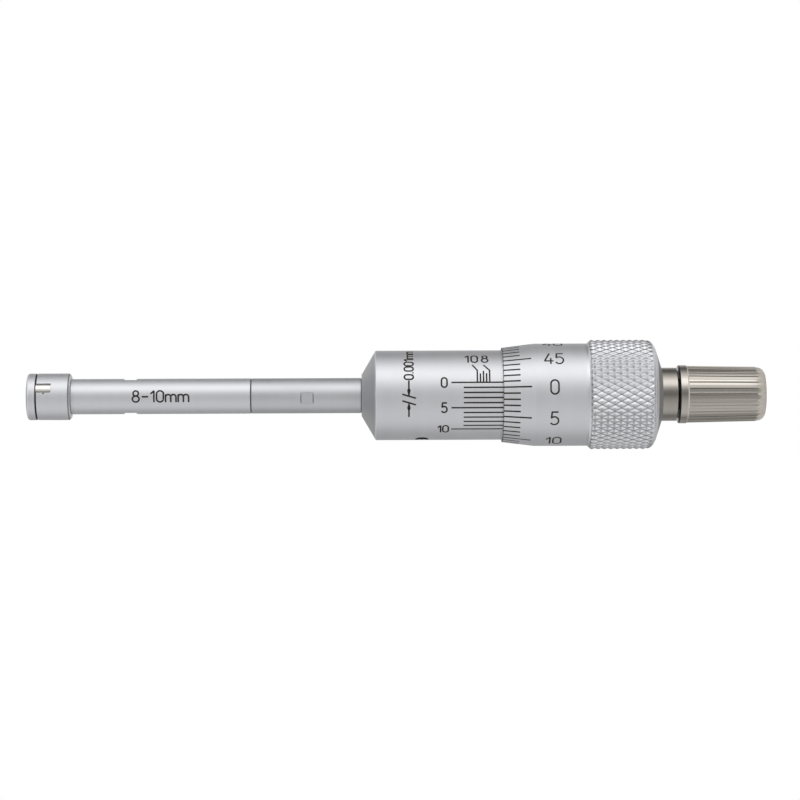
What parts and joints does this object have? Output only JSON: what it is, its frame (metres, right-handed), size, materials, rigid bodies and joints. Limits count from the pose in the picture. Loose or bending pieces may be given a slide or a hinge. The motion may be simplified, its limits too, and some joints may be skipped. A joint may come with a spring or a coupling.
{
  "type": "inside micrometer",
  "caption": "Three-point inside micrometer for small bores: slim stem with a slotted measuring head, graduated sleeve, knurled thimble and ratchet knob, standing on the knob.",
  "frame": {"origin": "centre of the ratchet knob's flat end face, on which the instrument stands", "axes": "+Z along the instrument's axis towards the measuring head; -Y towards the side with the scales; the first jaw lies 22.5 degrees from -Y towards +X"},
  "size_m": [0.018, 0.018, 0.1209],
  "materials": {
    "satin_chrome": "satin chrome plate",
    "stainless": "turned, plain",
    "hardened_steel": "ground and lapped",
    "spring_steel": "drawn wire",
    "black_steel": "oxide blacked",
    "bronze": "turned bronze"
  },
  "bodies": {
    "frame": {"sleeve": "satin_chrome", "inner_sleeve": "stainless", "spindle_nut": "stainless", "adjusting_nut": "stainless", "set_screw": "black_steel", "rear_tube": "satin_chrome", "front_tube": "satin_chrome", "rod_guide": "bronze", "rod_spring": "spring_steel", "head_body": "satin_chrome", "end_cap": "satin_chrome", "cap_screws": "hardened_steel", "jaw_spring": "spring_steel"},
    "thrust": {"thrust_ball": "hardened_steel"},
    "thimble": {"thimble": "satin_chrome", "spindle": "hardened_steel", "ratchet_neck": "stainless", "ratchet_screw": "hardened_steel", "pawl_spring": "spring_steel"},
    "ratchet": {"ratchet_knob": "stainless"},
    "pawl": {"ratchet_pawl": "hardened_steel"},
    "rod": {"push_rod": "hardened_steel"},
    "jaw_1": {"jaw_1": "hardened_steel"},
    "jaw_2": {"jaw_2": "hardened_steel"},
    "jaw_3": {"jaw_3": "hardened_steel"}
  },
  "joints": [
    {"name": "spindle_slide", "type": "slide", "parent": "frame", "child": "thrust", "axis": [0, 0, 1], "range_m": [0, 0.00425]},
    {"name": "thimble_turn", "type": "hinge", "parent": "thrust", "child": "thimble", "pos_m": [0, 0, 0], "axis": [0, 0, 1], "range_deg": [0, 3060]},
    {"name": "ratchet_turn", "type": "hinge", "parent": "thimble", "child": "ratchet", "pos_m": [0, 0, 0], "axis": [0, 0, 1], "continuous": true},
    {"name": "pawl_slide", "type": "slide", "parent": "thimble", "child": "pawl", "axis": [1, 0, 0], "range_m": [-0.00045, 0], "stiffness_N_per_m": 150, "springref_m": 0.001, "deforming": ["pawl_spring"]},
    {"name": "rod_slide", "type": "slide", "parent": "frame", "child": "rod", "axis": [0, 0, 1], "range_m": [0, 0.0026], "deforming": ["rod_spring"]},
    {"name": "jaw_1_slide", "type": "slide", "parent": "frame", "child": "jaw_1", "axis": [0.3827, -0.9239, 0], "range_m": [0, 0.0013], "deforming": ["jaw_spring"]},
    {"name": "jaw_2_slide", "type": "slide", "parent": "frame", "child": "jaw_2", "axis": [0.6088, 0.7934, 0], "range_m": [0, 0.0013]},
    {"name": "jaw_3_slide", "type": "slide", "parent": "frame", "child": "jaw_3", "axis": [-0.9914, 0.1305, 0], "range_m": [0, 0.0013]}
  ],
  "couplings": [
    {"joint": "thimble_turn", "follows": "spindle_slide", "rad_per_m": 12566},
    {"joint": "rod_slide", "follows": "spindle_slide", "ratio": 0.61176},
    {"joint": "jaw_1_slide", "follows": "spindle_slide", "ratio": 0.30588},
    {"joint": "jaw_2_slide", "follows": "spindle_slide", "ratio": 0.30588},
    {"joint": "jaw_3_slide", "follows": "spindle_slide", "ratio": 0.30588}
  ]
}
